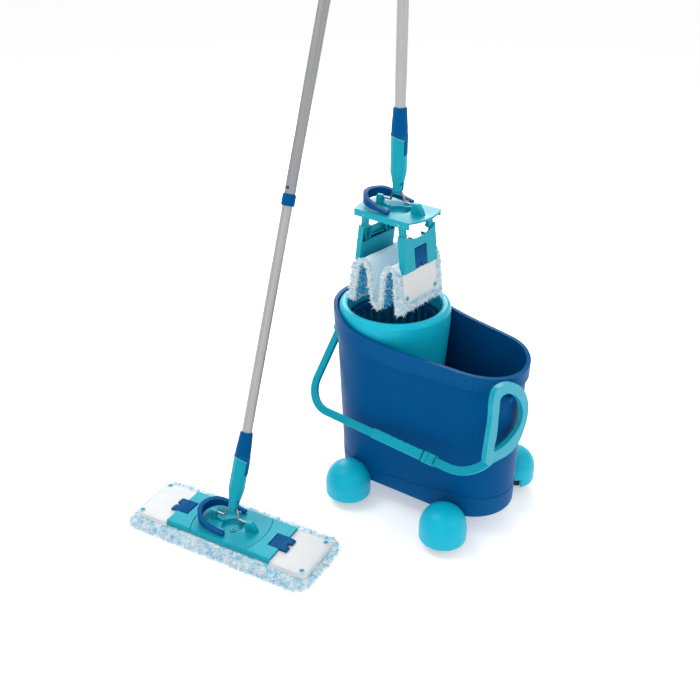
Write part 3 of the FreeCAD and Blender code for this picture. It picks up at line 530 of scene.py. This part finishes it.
# ------------------------------------------------------------------ tufts
def tufts(name, base, direc, length, radius, curl, mats, seed, body=None, sides=3, mat_pick=None, bend=None, segs=3, floor_z=None):
    """Short tapering strands. base, direc: n x 3 arrays in metres."""
    rng = np.random.default_rng(seed)
    n = len(base)
    base = np.asarray(base, float)
    direc = np.asarray(direc, float)
    direc /= np.linalg.norm(direc, axis=1)[:, None] + 1e-12
    L = length * rng.uniform(0.65, 1.25, n)
    R_ = radius * rng.uniform(0.7, 1.25, n)
    cv = rng.normal(0, 1, (n, 3)) * curl
    if bend is not None:
        cv = cv + np.asarray(bend)
    up = np.where(np.abs(direc[:, 2:3]) < 0.8, [[0, 0, 1.0]], [[1.0, 0, 0]])
    e1 = np.cross(direc, up)
    e1 /= np.linalg.norm(e1, axis=1)[:, None]
    e2 = np.cross(direc, e1)
    rings = []
    fr = [0.0, 0.36, 0.72][:segs]
    taper = [1.0, 0.95, 0.62][:segs]
    for f, tp in zip(fr, taper):
        p = base + direc * (L * f)[:, None] + cv * (L * f * f)[:, None]
        for k in range(sides):
            a = 2 * math.pi * k / sides
            rings.append(p + (e1 * math.cos(a) + e2 * math.sin(a)) * (R_ * tp)[:, None])
    tip = base + direc * L[:, None] + cv * L[:, None]
    pts = np.stack(rings + [tip], axis=1)           # n, m, 3
    if floor_z is not None:
        pts[:, :, 2] = np.maximum(pts[:, :, 2], floor_z)
    m = pts.shape[1]
    faces = []
    for s_ in range(segs - 1):
        for k in range(sides):
            k2 = (k + 1) % sides
            faces.append((s_ * sides + k, s_ * sides + k2, (s_ + 1) * sides + k2, (s_ + 1) * sides + k))
    tris = [((segs - 1) * sides + k, (segs - 1) * sides + (k + 1) % sides, m - 1) for k in range(sides)]
    base_face = [tuple(reversed(range(sides)))]
    verts = pts.reshape(-1, 3)
    allf = []
    for f in faces + tris + base_face:
        arr = np.array(f)[None, :] + (np.arange(n) * m)[:, None]
        allf.append(arr)
    me = bpy.data.meshes.new(name)
    loops = sum(a.size for a in allf)
    nf = sum(len(a) for a in allf)
    me.vertices.add(len(verts))
    me.vertices.foreach_set("co", verts.astype(np.float32).ravel())
    me.loops.add(loops)
    me.polygons.add(nf)
    starts, idx, off = [], [], 0
    for a in allf:
        starts.append(off + np.arange(len(a)) * a.shape[1])
        idx.append(a.ravel())
        off += a.size
    me.loops.foreach_set("vertex_index", np.concatenate(idx).astype(np.int32))
    me.polygons.foreach_set("loop_start", np.concatenate(starts).astype(np.int32))
    for mt in mats if isinstance(mats, (list, tuple)) else [mats]:
        me.materials.append(mt)
    if isinstance(mats, (list, tuple)) and len(mats) > 1:
        pick = rng.choice(len(mats), size=n, p=mat_pick)
        me.polygons.foreach_set("material_index", np.concatenate([pick for _ in allf]).astype(np.int32))
    me.update(calc_edges=True)
    me.validate()
    me.polygons.foreach_set("use_smooth", [True] * len(me.polygons))
    o = bpy.data.objects.new(name, me)
    scene.collection.objects.link(o)
    if body:
        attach(o, body)
    return o


def rounded_rect(x0, x1, y0, y1, r, n=5, corners=(1, 1, 1, 1)):
    """Outline of a rectangle with chosen rounded corners, counter-clockwise from the lower left."""
    pts = []
    for k, (cx, cy, a0) in enumerate(((x0, y0, 180), (x1, y0, 270), (x1, y1, 0), (x0, y1, 90))):
        if not corners[k]:
            pts.append((cx, cy))
            continue
        ox = cx + (r if cx == x0 else -r)
        oy = cy + (r if cy == y0 else -r)
        for i in range(n + 1):
            a = RAD(a0 + 90 * i / n)
            pts.append((ox + r * math.cos(a), oy + r * math.sin(a)))
    return pts


def resample(pts, step, closed=False):
    P = [np.array(p, float) for p in pts]
    if closed:
        P.append(P[0])
    out = [P[0]]
    for a, b in zip(P, P[1:]):
        d = np.linalg.norm(b - a)
        n = max(1, int(round(d / step)))
        for k in range(1, n + 1):
            out.append(a + (b - a) * k / n)
    if closed:
        out.pop()
    return out


# ------------------------------------------------------------------ flat cover on the floor
def smoothstep(t):
    t = min(1.0, max(0.0, t))
    return t * t * (3 - 2 * t)


def wob(x, y, z, s=0.05, k=1.0):
    """Small smooth unevenness, the same each run."""
    return k * (math.sin(x / s * 1.7 + 2.1 * math.sin(y / s)) + math.sin(y / s * 1.3 + 1.3 * z / s)) * 0.5


def floor_pad(side):
    mop = "floor_mop"
    xe, w0, rc = 217.0, 76.0, 15.0
    xs = list(np.arange(0, xe - rc, 5.0)) + [xe - rc + rc * math.sin(RAD(a)) for a in (0, 12, 24, 36, 48, 60, 70, 80, 87)]
    rings = []
    n_side = 46
    for x in xs:
        cut = 0.0
        if x > xe - rc:
            cut = rc - math.sqrt(max(0.0, rc * rc - (x - (xe - rc)) ** 2))
        w = w0 - cut
        zt, zb = 15.6 - 0.35 * cut, 2.6 + 0.25 * cut
        ring = []
        for k in range(n_side):
            a = 2 * math.pi * k / n_side
            c, s = math.cos(a), math.sin(a)
            yy = w * (abs(c) ** 0.22) * (1 if c >= 0 else -1)
            zz = (zt + zb) / 2 + (zt - zb) / 2 * (abs(s) ** 0.45) * (1 if s >= 0 else -1)
            zz += 0.5 * wob(x, yy, 0, 14.0) * (1 if s >= 0 else 0)
            ring.append(mop_pt(mop, side * x, yy, zz))
        rings.append(ring)
    v, f = rings_mesh(rings)
    o = obj_from("floor_cover_pad_" + ("right" if side > 0 else "left"), v, f, PILE)
    fix_normals(o)
    return o


def floor_border_tufts(side, seed):
    """Tufts along the three free edges: top band, side and corners."""
    mop = "floor_mop"
    rng = np.random.default_rng(seed)
    xe, w0, rc = 217.0, 76.0, 17.0
    # path of the edge, from the middle round the end and back
    path = [(0.0, -w0), (xe - rc, -w0)]
    path += [(xe - rc + rc * math.sin(RAD(a)), -w0 + rc - rc * math.cos(RAD(a))) for a in range(10, 91, 10)]
    path += [(xe, w0 - rc)]
    path += [(xe - rc + rc * math.cos(RAD(a)), w0 - rc + rc * math.sin(RAD(a))) for a in range(10, 91, 10)]
    path += [(0.0, w0)]
    P = np.array(resample(path, 1.0))
    T = np.gradient(P, axis=0)
    T /= np.linalg.norm(T, axis=1)[:, None]
    Nn = np.stack([T[:, 1], -T[:, 0]], axis=1)
    out_b, out_d = [], []
    n_top, n_side = 3300, 2100
    for n, kind in ((n_top, "top"), (n_side, "side")):
        i = rng.integers(0, len(P), n)
        p, nn, tt = P[i], Nn[i], T[i]
        if kind == "top":
            inset = rng.uniform(-1.0, 19.0, n)
            z = 14.2 - 0.22 * np.clip(6 - inset, 0, 6) ** 1.2
            d2 = nn * rng.uniform(0.5, 1.3, n)[:, None] + tt * rng.normal(0, 0.75, n)[:, None]
            dz = rng.uniform(0.05, 0.75, n)
        else:
            inset = rng.uniform(-0.5, 2.0, n)
            z = rng.uniform(3.5, 13.0, n)
            d2 = nn * rng.uniform(0.8, 1.2, n)[:, None] + tt * rng.normal(0, 0.6, n)[:, None]
            dz = rng.uniform(-0.5, 0.35, n)
        b2 = p - nn * inset[:, None]
        B = np.array([mop_pt(mop, side * b2[k, 0], b2[k, 1], z[k]) for k in range(n)])
        yaw = RAD(MOPS[mop]["yaw"])
        dx, dy = side * d2[:, 0], d2[:, 1]
        D = np.stack([dx * math.cos(yaw) - dy * math.sin(yaw), dx * math.sin(yaw) + dy * math.cos(yaw), dz], axis=1)
        out_b.append(B)
        out_d.append(D)
    B, D = np.concatenate(out_b), np.concatenate(out_d)
    return tufts("floor_cover_fringe_" + ("right" if side > 0 else "left"), B, D, 0.0098, 0.00125, 0.30, [PILE, PILE_WHITE], seed + 1,
                 mat_pick=[0.72, 0.28], bend=np.array([0, 0, -0.28]), floor_z=0.0006)


def floor_under_tufts(side, seed):
    mop = "floor_mop"
    rng = np.random.default_rng(seed)
    n = 2600
    x, y = rng.uniform(2, 212, n), rng.uniform(-73, 73, n)
    B = np.array([mop_pt(mop, side * x[k], y[k], 3.4) for k in range(n)])
    D = np.stack([rng.normal(0, 1, n), rng.normal(0, 1, n), rng.uniform(-0.55, -0.15, n)], axis=1)
    return tufts("floor_cover_pile_" + ("right" if side > 0 else "left"), B, D, 0.0085, 0.0014, 0.25, [PILE, PILE_DEEP], seed + 1, mat_pick=[0.6, 0.4], floor_z=0.0006)


def pocket(mop, side, name):
    """Cloth pocket over the outer part of the wing, open towards the plate."""
    m = MOPS[mop]
    a0, a1, hw = m["edge"] - 1.0, 170.5, 60.0
    na, ny = 46, 72
    verts, faces = [], []

    def top(a, y):
        e = min(hw - abs(y), a1 - a)
        h = 1 - math.exp(-max(e, 0) / 2.6)
        soft = 0.35 * math.sin(a * 0.11 + 0.8 * math.sin(y * 0.07)) + 0.25 * math.sin(y * 0.16 + a * 0.05)
        lip = 0.5 * math.exp(-((a - a0) / 2.2) ** 2)
        return -7.8 + 10.4 * h + soft * h + lip
    A = [a0 + (a1 - a0) * (k / na) ** 0.9 for k in range(na)] + [a1 - 1.5, a1 - 0.6, a1]
    Y = [hw * math.copysign(1 - (1 - abs(t)) ** 1.35, t) for t in np.linspace(-1, 1, ny)]
    A = sorted(A)
    for a in A:
        for y in Y:
            r = 13.0
            # rounded outer corners
            ay, aa = abs(y), a
            ox, oy = a1 - r, hw - r
            if aa > ox and ay > oy:
                d = math.hypot(aa - ox, ay - oy)
                if d > r:
                    f = r / d
                    aa, ay = ox + (aa - ox) * f, oy + (ay - oy) * f
            yy = math.copysign(ay, y)
            e_r = r - math.hypot(max(aa - ox, 0), max(ay - oy, 0)) if (aa > ox and ay > oy) else min(hw - ay, a1 - aa)
            h = 1 - math.exp(-max(e_r, 0) / 2.6)
            soft = 0.35 * math.sin(a * 0.11 + 0.8 * math.sin(y * 0.07)) + 0.25 * math.sin(y * 0.16 + a * 0.05)
            lip = 0.5 * math.exp(-((a - a0) / 2.2) ** 2)
            verts.append(wing_pt(mop, side, aa, yy, -7.6 + 10.3 * h + soft * h + lip))
    nA, nY = len(A), len(Y)
    for i in range(nA - 1):
        for j in range(nY - 1):
            faces.append((i * nY + j, i * nY + j + 1, (i + 1) * nY + j + 1, (i + 1) * nY + j))
    o = obj_from(name, verts, faces, POCKET)
    import bmesh
    bm = bmesh.new()
    bm.from_mesh(o.data)
    bmesh.ops.remove_doubles(bm, verts=bm.verts, dist=2e-5)
    bm.to_mesh(o.data)
    bm.free()
    # face the cloth outwards
    me = o.data
    up = (wing_pt(mop, side, 120, 0, 10) - wing_pt(mop, side, 120, 0, 0)).normalized()
    mid = min(me.polygons, key=lambda q: (q.center - wing_pt(mop, side, 130, 0, 2.5)).length)
    if mid.normal.dot(up) < 0:
        me.flip_normals()
    s = o.modifiers.new("t", "SOLIDIFY")
    s.thickness = 0.0007
    s.offset = -1
    apply_mods(o)
    auto_smooth(o, 60)
    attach(o, m["body"] + "_wing_" + ("right" if side > 0 else "left"))
    return o


def strip_on(points, width, thick, normal_fn, name, mat, body=None):
    """Thin flat strip along a path lying on a surface."""
    P = [np.array(p, float) for p in points]
    rings = []
    for k, p in enumerate(P):
        t = P[min(k + 1, len(P) - 1)] - P[max(k - 1, 0)]
        t /= np.linalg.norm(t) + 1e-12
        n = np.array(normal_fn(p), float)
        s = np.cross(t, n)
        s /= np.linalg.norm(s) + 1e-12
        ring = []
        for u, h in ((-0.5, -0.4), (-0.5, 0.35), (-0.32, 0.9), (0, 1.0), (0.32, 0.9), (0.5, 0.35), (0.5, -0.4)):
            ring.append(Vector(p + s * width * u + n * thick * h))
        rings.append(ring)
    v, f = rings_mesh(rings)
    o = obj_from(name, v, f, mat)
    fix_normals(o)
    if body:
        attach(o, body)
    return o


def pocket_trim(mop, side, name):
    """Hem round the pocket, its mouth hem and the corner holes, on the same wing."""
    m = MOPS[mop]
    body = m["body"] + "_wing_" + ("right" if side > 0 else "left")
    up = (wing_pt(mop, side, 120, 0, 10) - wing_pt(mop, side, 120, 0, 0)).normalized()
    a0, a1, hw = m["edge"] - 1.0, 170.5, 60.0
    outl = [(a0 + 1, -hw + 3.2), (a1 - 14, -hw + 3.2)] + [(a1 - 14 + 10.8 * math.sin(RAD(t)), -hw + 14 - 10.8 * math.cos(RAD(t))) for t in range(15, 91, 15)]
    outl += [(a1 - 3.2, hw - 14)] + [(a1 - 14 + 10.8 * math.cos(RAD(t)), hw - 14 + 10.8 * math.sin(RAD(t))) for t in range(15, 91, 15)] + [(a0 + 1, hw - 3.2)]
    pts = [wing_pt(mop, side, a, y, -0.1 + 0.9) for a, y in resample(outl, 4.0)]
    hem = strip_on(pts, 0.0032, 0.0008, lambda p: up, name + "_hem", HEM, body)
    mouth = [wing_pt(mop, side, a0 + 2.6, y, 2.9) for y in np.linspace(-hw + 4, hw - 4, 40)]
    lip = strip_on(mouth, 0.0050, 0.0006, lambda p: up, name + "_mouth", POCKET, body)
    # eyelets
    objs = []
    for y in (-48, 48):
        c = wing_pt(mop, side, 157.0, y, 2.95)
        ex = (wing_pt(mop, side, 130, 0, 0) - wing_pt(mop, side, 120, 0, 0)).normalized()
        ey = up.cross(ex)
        M = Matrix((( ex.x, ey.x, up.x), (ex.y, ey.y, up.y), (ex.z, ey.z, up.z)))
        ax = Matrix.Translation(c) @ M.to_4x4()
        disc = lathe(name + "_hole_" + ("f" if y < 0 else "b"), [(0, -0.6), (5.2, -0.6), (5.2, 0.12), (4.4, 0.02), (0, -0.1)], (0, 0, 0), AQUA_HEAD, 32, None, ax)
        ring = lathe(name + "_eyelet_" + ("f" if y < 0 else "b"), [(5.0, -0.5), (5.0, 0.45), (5.5, 0.75), (6.3, 0.55), (6.7, 0.0), (6.7, -0.5)], (0, 0, 0), HEM, 32, None, ax)
        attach(disc, body)
        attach(ring, body)
        objs += [disc, ring]
    return [hem, lip] + objs


def pocket_tufts(mop, side, name, seed):
    """Fringe that shows round the pocket on its outer face."""
    m = MOPS[mop]
    rng = np.random.default_rng(seed)
    n = 2300
    a1, hw = 181.0, 73.0
    bs, ds = [], []
    up = np.array((wing_pt(mop, side, 120, 0, 10) - wing_pt(mop, side, 120, 0, 0)).normalized())
    ea = np.array((wing_pt(mop, side, 130, 0, 0) - wing_pt(mop, side, 120, 0, 0)).normalized())
    ey = np.array((wing_pt(mop, side, 120, 10, 0) - wing_pt(mop, side, 120, 0, 0)).normalized())
    while len(bs) < n:
        a, y = rng.uniform(m["start"] + 2, a1), rng.uniform(-hw, hw)
        if abs(y) < 60.5 and a < 171.5:
            continue
        e_out = min(hw - abs(y), a1 - a)
        b = -8.0 + rng.uniform(-3.0, 2.5) + 2.0 * (1 - math.exp(-e_out / 4))
        ny = math.copysign(max(0, abs(y) - 58) / 19, y)
        na = max(0, a - 169) / 14
        bs.append(wing_pt(mop, side, a, y, b))
        ds.append(ey * (ny * 0.8 + rng.normal(0, 0.45)) + ea * (na * 0.8 + rng.normal(0, 0.45)) + up * rng.uniform(0.35, 1.1))
    return tufts(name, np.array(bs), np.array(ds), 0.0098, 0.0012, 0.28, [PILE, PILE_WHITE], seed + 1, mat_pick=[0.7, 0.3], bend=np.array([0, 0, -0.2]),
                 body=m["body"] + "_wing_" + ("right" if side > 0 else "left"))


for side, word in ((-1, "left"), (1, "right")):
    pad = floor_pad(side)
    fringe = floor_border_tufts(side, 11 + side)
    under = floor_under_tufts(side, 31 + side)
    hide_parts("floor_mop_cover_" + word)
    for o in (pad, fringe, under):
        mop_pt("floor_mop", side * 30, 0, 10)
        mop_pt("floor_mop", side * 62, 0, 10)
        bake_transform(o)
    pk = pocket("floor_mop", side, "floor_pocket_" + word)
    pocket_trim("floor_mop", side, "floor_pocket_" + word)
    if side > 0:
        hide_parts("floor_mop_cover_middle")


# ------------------------------------------------------------------ folded cover over the wringer
M_PATH = {
    1: [(-97.5, 457), (-89.5, 466), (-86.5, 484), (-85, 508), (-82, 533), (-75.5, 548), (-65.5, 554), (-57, 547), (-52.5, 530), (-50, 508), (-47, 484), (-44.5, 461)],
    -1: [(-97.5, 457), (-106, 465), (-112.5, 482), (-117, 506), (-120.5, 530), (-127, 547), (-138, 553), (-147.5, 545), (-152.5, 528), (-156, 506), (-160, 482), (-163.5, 461)],
}


def smooth_path(pts, n):
    """Evenly spaced points on a Catmull-Rom curve through pts."""
    P = [np.array(p, float) for p in pts]
    P = [2 * P[0] - P[1]] + P + [2 * P[-1] - P[-2]]
    dense = []
    for i in range(1, len(P) - 2):
        p0, p1, p2, p3 = P[i - 1:i + 3]
        for t in np.linspace(0, 1, 16, endpoint=False):
            dense.append(0.5 * (2 * p1 + (p2 - p0) * t + (2 * p0 - 5 * p1 + 4 * p2 - p3) * t * t + (3 * p1 - p0 - 3 * p2 + p3) * t ** 3))
    dense.append(P[-2])
    D = np.array(dense)
    s = np.concatenate([[0], np.cumsum(np.linalg.norm(np.diff(D, axis=0), axis=1))])
    q = np.linspace(0, s[-1], n)
    return np.stack([np.interp(q, s, D[:, k]) for k in range(D.shape[1])], axis=1), s[-1]


def m_half(side, seed):
    word = "right" if side > 0 else "left"
    C, L = smooth_path(M_PATH[side], 110)
    T = np.gradient(C, axis=0)
    T /= np.linalg.norm(T, axis=1)[:, None]
    # normal towards the backing side: up and outwards over the arches
    Nn = np.stack([-T[:, 1], T[:, 0]], axis=1) * side
    ny = 151
    Y = np.linspace(-72, 72, ny)
    verts, faces, mi = [], [], []
    for i in range(len(C)):
        for j, y in enumerate(Y):
            rib = 0.6 * math.cos(2 * math.pi * y / 4.7)
            wave = 0.8 * math.sin(y * 0.045 + i * 0.05) + 0.5 * math.sin(y * 0.09 - i * 0.11)
            h = 1.2 + rib + wave
            x, z = C[i] + Nn[i] * h
            verts.append(S(x, y, z))
    nC = len(C)
    for i in range(len(C)):
        for j, y in enumerate(Y):
            wave = 0.8 * math.sin(y * 0.045 + i * 0.05) + 0.5 * math.sin(y * 0.09 - i * 0.11)
            x, z = C[i] + Nn[i] * (-1.6 + wave)
            verts.append(S(x, y, z))
    o2 = nC * ny
    for i in range(nC - 1):
        for j in range(ny - 1):
            faces.append((i * ny + j, i * ny + j + 1, (i + 1) * ny + j + 1, (i + 1) * ny + j))
            mi.append(0)
            faces.append((o2 + i * ny + j, o2 + (i + 1) * ny + j, o2 + (i + 1) * ny + j + 1, o2 + i * ny + j + 1))
            mi.append(1)
    for i in range(nC - 1):
        for j in (0, ny - 1):
            a, b = i * ny + j, (i + 1) * ny + j
            faces.append((a, b, o2 + b, o2 + a))
            mi.append(1)
    for j in range(ny - 1):
        for i in (0, nC - 1):
            a, b = i * ny + j, i * ny + j + 1
            faces.append((a, b, o2 + b, o2 + a))
            mi.append(1)
    sheet = obj_from("wring_cover_sheet_" + word, verts, faces, [BACKING, PILE_DEEP], mat_index=mi)
    fix_normals(sheet)
    rng = np.random.default_rng(seed)

    def sample(n, y0, y1, h0, h1, i0=0, i1=None):
        i = rng.integers(i0, i1 or nC, n)
        y = rng.uniform(min(y0, y1), max(y0, y1), n)
        h = rng.uniform(h0, h1, n)
        B = np.array([S(C[i[k], 0] + Nn[i[k], 0] * h[k], y[k], C[i[k], 1] + Nn[i[k], 1] * h[k]) for k in range(n)])
        N3 = np.stack([Nn[i, 0], np.zeros(n), Nn[i, 1]], axis=1)
        T3 = np.stack([T[i, 0], np.zeros(n), T[i, 1]], axis=1)
        return B, N3, T3
    # pile on the underside
    n = 6200
    B, N3, T3 = sample(n, -71, 71, -1.9, -1.2)
    D = -N3 * rng.uniform(0.6, 1.0, n)[:, None] + T3 * rng.normal(0, 0.4, n)[:, None] + np.stack([np.zeros(n), rng.normal(0, 0.4, n), np.zeros(n)], axis=1)
    pile = tufts("wring_cover_pile_" + word, B, D, 0.0078, 0.0013, 0.25, [PILE_DEEP, PILE], seed + 1, mat_pick=[0.86, 0.14])
    # fluffy edges front and back
    bs, ds = [], []
    for e in (-1, 1):
        n = 2300
        B, N3, T3 = sample(n, 67.5 * e, 73.5 * e, -3.6, 3.0)
        bs.append(B)
        ds.append(np.stack([np.zeros(n), e * rng.uniform(0.35, 1.0, n), np.zeros(n)], axis=1) + N3 * rng.normal(0.12, 0.42, n)[:, None] + T3 * rng.normal(0, 0.5, n)[:, None])
    # bottom edge of the outer leg
    n = 900
    B, N3, T3 = sample(n, -75, 75, -6.0, 4.0, nC - 3, nC)
    bs.append(B)
    ds.append(T3 * rng.uniform(0.4, 1.0, n)[:, None] + N3 * rng.normal(0, 0.5, n)[:, None] + np.stack([np.zeros(n), rng.normal(0, 0.4, n), np.zeros(n)], axis=1))
    edge = tufts("wring_cover_edge_" + word, np.concatenate(bs), np.concatenate(ds), 0.0068, 0.00115, 0.3, [PILE_WHITE, PILE], seed + 2, mat_pick=[0.7, 0.3])
    return sheet, pile, edge, L


for side, word in ((-1, "left"), (1, "right")):
    sheet, pile, edge, L = m_half(side, 51 + side)
    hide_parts("wring_mop_cover_" + word)
    if side > 0:
        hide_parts("wring_mop_cover_middle")
    for o in (sheet, pile, edge):
        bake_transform(o)
    pk = pocket("wring_mop", side, "wring_pocket_" + word)
    pocket_trim("wring_mop", side, "wring_pocket_" + word)
    pt = pocket_tufts("wring_mop", side, "wring_pocket_fringe_" + word, 71 + side)
# ------------------------------------------------------------------ wavy skirt under the joint collar
def collar_skirt(mop):
    """The collar's lower rim: a thin sleeve with a wavy edge over the socket, and the pale line along it."""
    m = MOPS[mop]
    zy = 50.0
    c, s = math.cos(RAD(m["lean"])), math.sin(RAD(m["lean"]))

    def up_pt(r, a, d):
        x, y = r * math.cos(a), r * math.sin(a)
        return mop_pt(mop, x, y * c - d * s, zy + y * s + d * c)
    n = 64
    rings = [[], [], [], []]
    edge = []
    for k in range(n):
        a = 2 * math.pi * k / n
        low = 129.6 - 3.4 * math.cos(a - 0.5) - 1.5 * math.cos(2 * a + 0.4)
        for q, (r, d) in enumerate(((16.95, 136.15), (17.45, 136.15), (17.45, low), (16.95, low))):
            rings[q].append(up_pt(r, a, d))
        edge.append((a, low))
    v = [p for ring in rings for p in ring]
    f = []
    for q in range(4):
        for k in range(n):
            k2 = (k + 1) % n
            q2 = (q + 1) % 4
            f.append((q * n + k, q * n + k2, q2 * n + k2, q2 * n + k))
    o = obj_from(mop + "_collar_skirt", v, f, NAVY)
    fix_normals(o)
    auto_smooth(o, 50)
    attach(o, m["body"] + "_handle")
    v, f = [], []
    t = 8
    for k, (a, low) in enumerate(edge):
        for j in range(t):
            b = 2 * math.pi * j / t
            v.append(up_pt(17.35 + 0.42 * math.cos(b), a, low - 0.25 + 0.42 * math.sin(b)))
    for k in range(n):
        for j in range(t):
            f.append((k * t + j, k * t + (j + 1) % t, ((k + 1) % n) * t + (j + 1) % t, ((k + 1) % n) * t + j))
    line = obj_from(mop + "_collar_line", v, f, EDGE_LINE)
    fix_normals(line)
    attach(line, m["body"] + "_handle")


EDGE_LINE = plastic("pale_edge", (132, 208, 222), 0.35, edge=0.05)
for mop in MOPS:
    collar_skirt(mop)
